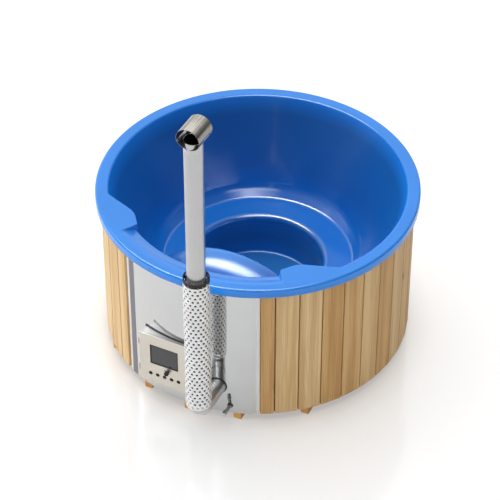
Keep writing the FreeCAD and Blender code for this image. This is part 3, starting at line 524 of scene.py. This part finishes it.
def plank_wood(name, tones, rough, by_board=False):
    """Softwood with streaks, rings, fibres and knots; boards bring their own grain, tone and joints."""
    material, tree, shader = shader_tree(name)
    if by_board:
        place = attribute(tree, "grain", "Vector")
        tone = attribute(tree, "tone", "Fac")
    else:
        place = place_of(tree)
        tone = noise(tree, place, scale=3.0, detail=2.0)
    warp = noise(tree, stretched(tree, place, ring_wander_stretch), detail=3.0)
    push = add(tree, "ShaderNodeCombineXYZ", X=fitted(tree, warp, -ring_wander, ring_wander))
    ring_place = vector_maths(tree, "ADD", stretched(tree, place, ring_stretch), push.outputs["Vector"])
    rings = add(tree, "ShaderNodeTexWave", Vector=ring_place, Scale=22.0, Distortion=2.0, Detail=3.0,
                Detail_Scale=1.2).outputs["Fac"]
    fibres = noise(tree, stretched(tree, place, fibre_stretch), detail=4.0, roughness=0.6)
    streaks = noise(tree, stretched(tree, place, streak_stretch), detail=5.0, roughness=0.6)
    colour = tinted(tree, streak_share, ramp(tree, tone, tones), ramp(tree, streaks, streak_tones))
    colour = tinted(tree, maths(tree, "MULTIPLY", rings, ring_share), colour, ring_tint)
    colour = tinted(tree, maths(tree, "MULTIPLY", fibres, fibre_share), colour, fibre_tint)
    cells = add(tree, "ShaderNodeTexVoronoi", Vector=stretched(tree, place, knot_stretch), Scale=1.0,
                Randomness=1.0)
    chosen = noise(tree, stretched(tree, place, knot_choice_stretch), detail=1.0)
    knots = multiplied(tree, ramp(tree, cells.outputs["Distance"], knot_core),
                       ramp(tree, chosen, knot_choice))
    colour = mixed(tree, maths(tree, "MULTIPLY", knots, knot_share), colour, knot_colour)
    if by_board:
        colour = tinted(tree, attribute(tree, "joint", "Fac"), colour, joint_tint)
    feed(tree, shader, Base_Color=colour, Specular_IOR_Level=0.35,
         Roughness=fitted(tree, fibres, rough - wood_smoother, rough + wood_rougher))
    relief = maths(tree, "ADD", fibres, maths(tree, "MULTIPLY", rings, ring_relief))
    bumped(tree, shader, relief, strength=0.25, distance=0.0006)
    return material


def steel(name, dull, bright, rough, brush, zones=(), relief=0.04):
    """Stainless sheet: brushed along one axis, cloudy, with zones of (mask, colour, metal, roughness)."""
    material, tree, shader = shader_tree(name)
    place = place_of(tree)
    lines = noise(tree, stretched(tree, place, brush), detail=3.0, roughness=0.6)
    clouds = noise(tree, place, scale=6.0, detail=3.0)
    blend = maths(tree, "ADD", maths(tree, "MULTIPLY", lines, brush_share),
                  maths(tree, "MULTIPLY", clouds, cloud_share))
    colour = ramp(tree, blend, [(steel_dull, dull), (steel_bright, bright)])
    matt = fitted(tree, blend, *rough)
    metal = 1.0
    for mask_of, tint, zone_metal, zone_rough in zones:
        mask = mask_of(tree, place)
        colour = mixed(tree, mask, colour, (*tint, 1.0))
        matt = blended(tree, mask, matt, zone_rough)
        metal = blended(tree, mask, metal, zone_metal)
    feed(tree, shader, Base_Color=colour, Roughness=matt, Metallic=metal)
    bumped(tree, shader, lines, relief, distance=0.0003)
    return material


def dark_stuff(name, low, high, rough, size):
    """Rubber, rope, iron or plastic with a fine surface."""
    material, tree, shader = shader_tree(name)
    grains = noise(tree, place_of(tree), size, detail=4.0)
    feed(tree, shader, Base_Color=ramp(tree, grains, [(grain_low, low), (grain_high, high)]),
         Roughness=fitted(tree, grains, rough - grain_smoother, rough + grain_rougher))
    bumped(tree, shader, grains, strength=0.15, distance=0.0004)
    return material


def smoked_glass(name):
    """Dark stove window."""
    material, tree, shader = shader_tree(name)
    haze = noise(tree, place_of(tree), scale=14.0, detail=4.0)
    feed(tree, shader, Base_Color=ramp(tree, haze, glass_tones),
         Roughness=fitted(tree, haze, low=0.05, high=0.14), Coat_Weight=0.5)
    return material


# Each slot's maker and what it is told
finishes = {
    "shell_gelcoat": (gelcoat, blues_with_painted_shade),
    "cladding_wood": (plank_wood, honey, 0.55, True),
    "frame_wood": (plank_wood, honey, 0.6),
    "skid_wood": (plank_wood, orange, 0.6),
    "panel_steel": (steel, (0.56, 0.57, 0.57), (0.60, 0.61, 0.61), (0.02, 0.04), (900, 900, 6), [
        # Painted dark reflection on the flat strip at the panel's left edge.
        (painted_reflection_strip, (0.17, 0.17, 0.20), 0.0, 0.45),
        # Painted highlights along the panel's left fold and right edge.
        (painted_edge_highlights, (0.86, 0.85, 0.83), 0.0, 0.30)], 0.0),
    "door_steel": (steel, (0.63, 0.59, 0.52), (0.69, 0.65, 0.58), (0.38, 0.48), (6, 6, 900), [
        # Painted shade on the door's folded sides.
        (door_return_painted_shade, grey(0.26), 1.0, 0.40)]),
    "stove_steel": (steel, grey(0.28), grey(0.38), (0.34, 0.44), (900, 8, 900)),
    "flue_steel": (steel, grey(0.47), grey(0.55), (0.26, 0.36), (900, 900, 8), [
        # Soot and painted shade inside the pipe; painted shade on the pipe behind the guard.
        (flue_soot_and_painted_shade, grey(0.004), 0.0, 0.8)]),
    "guard_steel": (steel, grey(0.71), grey(0.81), (0.30, 0.40), (60, 60, 60), [
        # Painted shade on the guard's inner face, and soot on its crown.
        (guard_painted_shade_and_soot, grey(0.006), 0.0, 0.7)]),
    "cap_steel": (steel, (0.10, 0.095, 0.085), (0.44, 0.42, 0.38), (0.22, 0.32), (110, 3, 110), [
        (cap_neck, grey(0.52), 1.0, 0.30),
        # Soot and painted shade on the cap's inner faces.
        (cap_soot_and_painted_shade, grey(0.003), 0.0, 0.8)]),
    "fitting_metal": (steel, grey(0.52), grey(0.66), (0.16, 0.26), (80, 80, 80)),
    "seal_rubber": (dark_stuff, grey(0.006), grey(0.014), 0.55, 300.0),
    "seal_rope": (dark_stuff, grey(0.008), grey(0.022), 0.85, 700.0),
    "stove_glass": (smoked_glass,),
    "black_plastic": (dark_stuff, grey(0.002), grey(0.004), 0.80, 260.0),
    "grate_iron": (dark_stuff, (0.020, 0.019, 0.018), (0.050, 0.047, 0.044), 0.75, 220.0),
    "pipe_plastic": (dark_stuff, (0.085, 0.086, 0.088), (0.115, 0.116, 0.118), 0.45, 180.0),
}
materials = {slot: make(slot, *values) for slot, (make, *values) in finishes.items()}
for subpart in frame["record"]["subparts"]:
    node = nodes[subpart["node"]]
    node.data.materials.clear()
    node.data.materials.append(materials[subpart["material_slot"]])


# Tub shell

def rounded_path(corners, arc_steps):
    """Points through (a, b, rounding) corners, with the roundings as arcs."""
    path = [Vector(corners[0][:2])]
    for before, corner, after in zip(corners, corners[1:], corners[2:]):
        point = Vector(corner[:2])
        back = (Vector(before[:2]) - point).normalized()
        ahead = (Vector(after[:2]) - point).normalized()
        half = back.angle(ahead) / 2
        reach = corner[2] / math.tan(half)
        centre = point + (back + ahead).normalized() * (corner[2] / math.sin(half))
        first = point + back * reach - centre
        turn = math.pi - 2 * half
        side = math.copysign(1, first.x * ahead.y - first.y * ahead.x)
        for i in range(arc_steps + 1):
            angle = side * turn * i / arc_steps
            spun = Vector((first.x * math.cos(angle) - first.y * math.sin(angle),
                           first.x * math.sin(angle) + first.y * math.cos(angle)))
            path.append(centre + spun)
    path.append(Vector(corners[-1][:2]))
    return path


def filled_path(path, longest):
    """The same path with its long runs divided."""
    result = [path[0]]
    for a, b in zip(path, path[1:]):
        count = max(1, math.ceil((b - a).length / longest))
        result += [a.lerp(b, (i + 1) / count) for i in range(count)]
    return result


def eased(value, low, high):
    """Smooth step between two places."""
    share = np.clip((value - low) / (high - low), 0, 1)
    return share * share * (3 - 2 * share)


def smooth_max(a, b, width):
    """Larger of two heights, with a fillet where they meet."""
    share = np.maximum(width - np.abs(a - b), 0) / width
    return np.maximum(a, b) + share * share * width / 4


def hump_height(x, y):
    """Top of the hump over a place in plan: a flattened ball that falls off faster behind its crest."""
    ring = hump_radius - hump_edge_round
    rise = ring ** 2 + hump_half_depth ** 2 - hump_edge_round ** 2
    cap = rise / (2 * (hump_half_depth - hump_edge_round))
    setback = cap - hump_half_depth
    slope = math.atan2(ring, setback)
    behind = np.clip((y - hump_centre.y) / hump_back_reach, 0, 1)
    back_depth = hump_half_depth * (1 - (1 - behind) ** hump_back_power)
    depth = np.where(y < hump_centre.y, hump_centre.y - y, back_depth)
    edge = ring + np.sqrt(np.maximum(hump_edge_round ** 2 - depth ** 2, 0))
    side = np.sqrt(np.maximum(cap ** 2 - (depth + setback) ** 2, 0))
    reach = np.where(depth < cap * math.cos(slope) - setback, edge, side)
    lift = np.maximum(reach ** 2 - (x - hump_centre.x) ** 2, 0)
    return np.where(lift > 0, hump_centre.z + np.sqrt(lift), 0)


def lug_edge(angle):
    """Inner radius of the lugs' plan at an angle from the front."""
    corners = [(math.sin(a) * r, -math.cos(a) * r, rounding) for a, r, rounding in (
        (ledge_half_angle, lug_tip_radius, 0),
        (lug_knee_angle, lug_knee_radius, lug_knee_round),
        (lug_end_angle, rim_inner_radius, 0))]
    path = filled_path(rounded_path(corners, lug_arc_steps), lug_run)
    angles = [math.atan2(p.x, -p.y) for p in path]
    return np.interp(angle, angles, [p.length for p in path])


def shell_height(angle, radius, height):
    """Height of the moulding's face: the turned form with hump, ledge and lugs added."""
    hump = hump_height(radius * np.sin(angle), -radius * np.cos(angle))
    front = np.abs(angle)
    humped = (radius < rim_inner_radius) & (front < hump_half_angle)
    height = np.where(humped, smooth_max(height, hump, hump_blend), height)
    ledge = eased(radius - ledge_inner_radius, -shelf_edge, 0)
    fall = eased(ledge_outer_radius - radius, 0, ledge_outer_radius - ledge_inner_radius)
    shelf = smooth_max(rim_top - ledge_drop * fall, hump, ledge_blend)
    on_ledge = height + (shelf - height) * ledge
    lug = eased(radius - lug_edge(front), -shelf_edge, 0) * (front < lug_end_angle)
    on_lug = height + np.maximum(rim_top - height, 0) * lug
    step = eased((front - ledge_half_angle) * radius, -step_edge / 2, step_edge / 2)
    return np.where(radius < ledge_outer_radius, on_ledge * (1 - step) + on_lug * step, height)


def tub_shell():
    """Moulded shell: lip, rim, wall, bench, footwell, hump, ledge and lugs in one skin."""
    corners = [
        (rim_radius, lip_bottom, 0),
        (rim_radius, rim_top, rim_edge_round),
        (rim_inner_radius, rim_top, rim_inner_round),
        (bench_wall_radius, bench_wall_height, bench_wall_round),
        (bench_outer_radius, bench_height, bench_round),
        (bench_inner_radius, bench_height, bench_edge_round),
        (well_radius, well_floor, well_round),
        (well_middle, well_floor, 0),
    ]
    lip = [Vector((rim_radius - lip_wall, rim_top - lip_wall)), Vector((rim_radius - lip_wall, lip_bottom))]
    path = lip + filled_path(rounded_path(corners, section_arc_steps), section_run)
    front = np.arange(-front_half_turn, front_half_turn, front_turn)
    back = np.linspace(front_half_turn, full_turn - front_half_turn, back_columns, endpoint=False)
    angles = np.radians(np.concatenate([front, back]))
    turned = (angles + math.pi) % (2 * math.pi) - math.pi
    radii = np.array([p.x for p in path])
    heights = np.array([p.y for p in path])
    angle, radius = np.meshgrid(turned, radii, indexing="ij")
    height = np.broadcast_to(heights, angle.shape).copy()
    face = np.arange(len(path)) >= len(lip) + lip_points
    shaped = shell_height(angle, radius, height)
    height[:, face] = shaped[:, face]
    points = np.stack([radius * np.sin(angle), -radius * np.cos(angle), height], axis=-1).reshape(-1, 3)
    columns, rows = angle.shape
    faces = []
    for c in range(columns):
        following = (c + 1) % columns
        for r in range(rows - 1):
            faces.append((c * rows + r, following * rows + r, following * rows + r + 1, c * rows + r + 1))
    faces.append([c * rows + rows - 1 for c in range(columns)])
    piece = new_piece("moulded_shell", points, faces, "tub", "shell_gelcoat")
    solidify(piece, lip_wall - lip_clearance)
    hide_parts("tub_shell")


# Cladding

def plank_outline(half_width, face):
    """Plank's section seen from above, standing at the front: outer edges rounded, sides radial."""
    inner = half_width * (face - board_thickness) / face
    corners = [
        (0, -face, 0),
        (half_width, -face, board_round),
        (inner, -face + board_thickness, board_back_round),
        (0, -face + board_thickness, 0),
    ]
    right = rounded_path(corners, board_arc_steps)
    left = [Vector((-p.x, p.y)) for p in reversed(right[1:-1])]
    return right + left


def cladding():
    """Planks round the tub, each with its own tone and its own place in the grain."""
    chance = random.Random(board_seed)
    start = panel_half_angle + narrow_board_angle
    step = (2 * math.pi - 2 * start) / board_count
    places = [(panel_turn + start + (i + 0.5) * step, step) for i in range(board_count)]
    edge = panel_half_angle + narrow_board_angle / 2
    places += [(panel_turn + edge, narrow_board_angle), (panel_turn - edge, narrow_board_angle)]
    points, faces, tones, grains, joints = [], [], [], [], []
    for angle, width in places:
        face = cladding_radius * math.cos(width / 2)
        half_width = cladding_radius * math.sin(width / 2) - board_gap / 2
        outline = plank_outline(half_width, face)
        tone = chance.betavariate(*board_tone_spread)
        shift = [chance.uniform(-board_grain_shift, board_grain_shift) for _ in range(3)]
        first = len(points)
        count = len(outline)
        for z in (cladding_bottom, cladding_top):
            for p in outline:
                points.append((p.x * math.cos(angle) - p.y * math.sin(angle),
                               p.x * math.sin(angle) + p.y * math.cos(angle), z))
                tones.append(tone)
                joints.append(min(1.0, max(0.0, 1 - (half_width - abs(p.x)) / board_round)))
                grains += [p.x + shift[0], p.y + face + shift[1], z + shift[2]]
        for i in range(count):
            j = (i + 1) % count
            faces.append((first + i, first + j, first + count + j, first + count + i))
        faces.append([first + i for i in reversed(range(count))])
        faces.append([first + count + i for i in range(count)])
    piece = new_piece("cladding_planks", points, faces, "tub", "cladding_wood", smooth=False)
    piece.data.attributes.new("tone", "FLOAT", "POINT").data.foreach_set("value", tones)
    piece.data.attributes.new("joint", "FLOAT", "POINT").data.foreach_set("value", joints)
    piece.data.attributes.new("grain", "FLOAT_VECTOR", "POINT").data.foreach_set("vector", grains)
    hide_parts("cladding_boards")


# Heat guard

def perforated_guard():
    """Sleeve of perforated sheet: staggered rows of cells, each with a round hole."""
    height = guard_high.z - guard_low.z
    pitch = 2 * math.pi / guard_holes_round
    row_height = (height - 2 * guard_margin) / guard_rows
    rim_places = [(-0.5, -0.5), (0, -0.5), (0.5, -0.5), (0.5, 0),
                  (0.5, 0.5), (0, 0.5), (-0.5, 0.5), (-0.5, 0)]
    first_corner = -3 * math.pi / 4
    turn_parts, height_parts = 1000, 1e6
    points, faces = [], []
    known = {}

    def point(turn, z):
        """Number of a place on the sleeve, shared by the faces that meet there."""
        key = (round(turn / pitch * turn_parts) % (guard_holes_round * turn_parts), round(z * height_parts))
        if key not in known:
            known[key] = len(points)
            points.append((guard_axis.x + guard_radius * math.sin(turn),
                           guard_axis.y - guard_radius * math.cos(turn), z))
        return known[key]

    for row in range(guard_rows):
        z = guard_low.z + guard_margin + (row + 0.5) * row_height
        for i in range(guard_holes_round):
            turn = (i + (row % 2) / 2) * pitch
            rim = [point(turn + a * pitch, z + b * row_height) for a, b in rim_places]
            hole = []
            for k in range(hole_sides):
                angle = 2 * math.pi * k / hole_sides + first_corner
                across = guard_hole_radius * math.cos(angle) / guard_radius
                hole.append(point(turn + across, z + guard_hole_radius * math.sin(angle)))
            for k in range(len(rim)):
                m = (k + 1) % len(rim)
                faces.append((rim[k], rim[m], hole[2 * k + 1]))
                faces.append((rim[k], hole[2 * k + 1], hole[2 * k]))
                faces.append((rim[m], hole[(2 * k + 2) % hole_sides], hole[2 * k + 1]))
    for edge, z in ((guard_low.z, guard_low.z + guard_margin),
                    (guard_high.z - guard_margin, guard_high.z)):
        for i in range(2 * guard_holes_round):
            a, b = i * pitch / 2, (i + 1) * pitch / 2
            faces.append((point(a, edge), point(b, edge), point(b, z), point(a, z)))
    piece = new_piece("perforated_guard", points, faces, "tub", "guard_steel")
    solidify(piece, guard_sheet)
    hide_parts("heat_guard")


tub_shell()
cladding()
perforated_guard()
for name in ("stove_collar", "base_skids", "drain_cap"):
    soften(nodes[name])


# Stage, light and camera

def floor():
    """Pale floor that camera and reflections see as almost white, with a darker, warmer painted shadow
    close to the tub.
    """
    material, tree, shader = shader_tree("pale_floor")
    shade = ramp(tree, noise(tree, place_of(tree), scale=1.5, detail=2.0), floor_tones)
    nearness = add(tree, "ShaderNodeAmbientOcclusion", Distance=contact_reach)
    nearness.samples = contact_samples
    # The occlusion paints a warm, darker contact shadow into the floor's colour near the tub.
    painted_shadow_tint = ramp(tree, nearness.outputs["AO"], painted_contact_shadow_tones)
    feed(tree, shader, Base_Color=multiplied(tree, shade, painted_shadow_tint), Roughness=0.12, Specular_IOR_Level=0.8)
    glow = add(tree, "ShaderNodeEmission", Strength=floor_glow)
    rays = tree.nodes.new("ShaderNodeLightPath").outputs
    mirrored = either(tree, rays["Is Glossy Ray"], rays["Is Transmission Ray"])
    seen = either(tree, rays["Is Camera Ray"], mirrored)
    blend = add(tree, "ShaderNodeMixShader", Fac=maths(tree, "MULTIPLY", seen, floor_glow_share))
    tree.links.new(shader.outputs["BSDF"], blend.inputs[1])
    tree.links.new(glow.outputs["Emission"], blend.inputs[2])
    feed(tree, tree.nodes["Material Output"], Surface=blend.outputs["Shader"])
    signs = [(-1, -1), (1, -1), (1, 1), (-1, 1)]
    corners = [(x * floor_half_size, y * floor_half_size, 0) for x, y in signs]
    mesh = bpy.data.meshes.new("floor")
    mesh.from_pydata(corners, [], [(0, 1, 2, 3)])
    mesh.materials.append(material)
    plane = bpy.data.objects.new("floor", mesh)
    bpy.context.scene.collection.objects.link(plane)


def soft_edges(light):
    """Fades a soft box from its middle to its edges, by 4 v (1 - v) along both sides."""
    light.use_nodes = True
    tree = light.node_tree
    across = tree.nodes.new("ShaderNodeNewGeometry").outputs["Parametric"]
    shares = []
    for axis in "XY":
        value = axis_value(tree, across, axis)
        shares.append(maths(tree, "MULTIPLY", value, maths(tree, "MULTIPLY_ADD", value, -4.0, 4.0)))
    feed(tree, tree.nodes["Emission"], Strength=maths(tree, "MULTIPLY", *shares))


def area_light(name, place, target, size, power, mirrored):
    """Soft box that faces a point: a panel for reflections alone, or a fill that stays out of them."""
    light = bpy.data.lights.new(name, "AREA")
    light.shape = "RECTANGLE"
    light.size, light.size_y = size
    light.energy = power
    light.spread = math.pi if mirrored else fill_spread
    lamp = bpy.data.objects.new(name, light)
    lamp.visible_glossy = mirrored
    lamp.visible_diffuse = not mirrored
    lamp.visible_camera = False
    lamp.location = place
    lamp.rotation_euler = (Vector(target) - Vector(place)).to_track_quat("-Z", "Y").to_euler()
    bpy.context.scene.collection.objects.link(lamp)
    if mirrored:
        soft_edges(light)


def world_light():
    """Surroundings that are bright behind the tub, softer overhead and dim behind the camera."""
    world = bpy.data.worlds.new("studio")
    bpy.context.scene.world = world
    world.use_nodes = True
    tree = world.node_tree
    way = tree.nodes.new("ShaderNodeTexCoord").outputs["Generated"]
    facing = vector_maths(tree, "DOT_PRODUCT", way, bright_side, output="Value")
    share = add(tree, "ShaderNodeMapRange", Value=facing, From_Min=-1.0).outputs["Result"]
    feed(tree, tree.nodes["Background"], Color=ramp(tree, share, sky_tones))


def camera():
    """Camera at the photograph's angle."""
    data = bpy.data.cameras.new("camera")
    data.lens = camera_lens
    data.sensor_width = camera_sensor
    data.sensor_fit = "HORIZONTAL"
    data.clip_end = camera_far
    eye = bpy.data.objects.new("camera", data)
    eye.location = camera_place
    eye.rotation_euler = camera_aim.to_track_quat("-Z", "Y").to_euler()
    bpy.context.scene.collection.objects.link(eye)
    bpy.context.scene.camera = eye


floor()
world_light()
area_light("left_fill", place=(-8.7, -5.9, 0.8), target=(0, 0, 0.45), size=(5.0, 1.2), power=105.0,
           mirrored=False)
area_light("right_fill", place=(6.5, -8.8, 0.8), target=(0, 0, 0.45), size=(7.0, 1.2), power=96.0,
           mirrored=False)
area_light("over_panel", place=(-2.0, -1.1, 6.0), target=(-2.0, -1.1, 0), size=(9.6, 3.7), power=2670.0,
           mirrored=True)
area_light("front_panel", place=(1.8, -2.7, 5.2), target=(0, 0.56, 0.46), size=(5.0, 1.6), power=150.0,
           mirrored=True)
camera()
bpy.context.scene.view_settings.view_transform = "Standard"
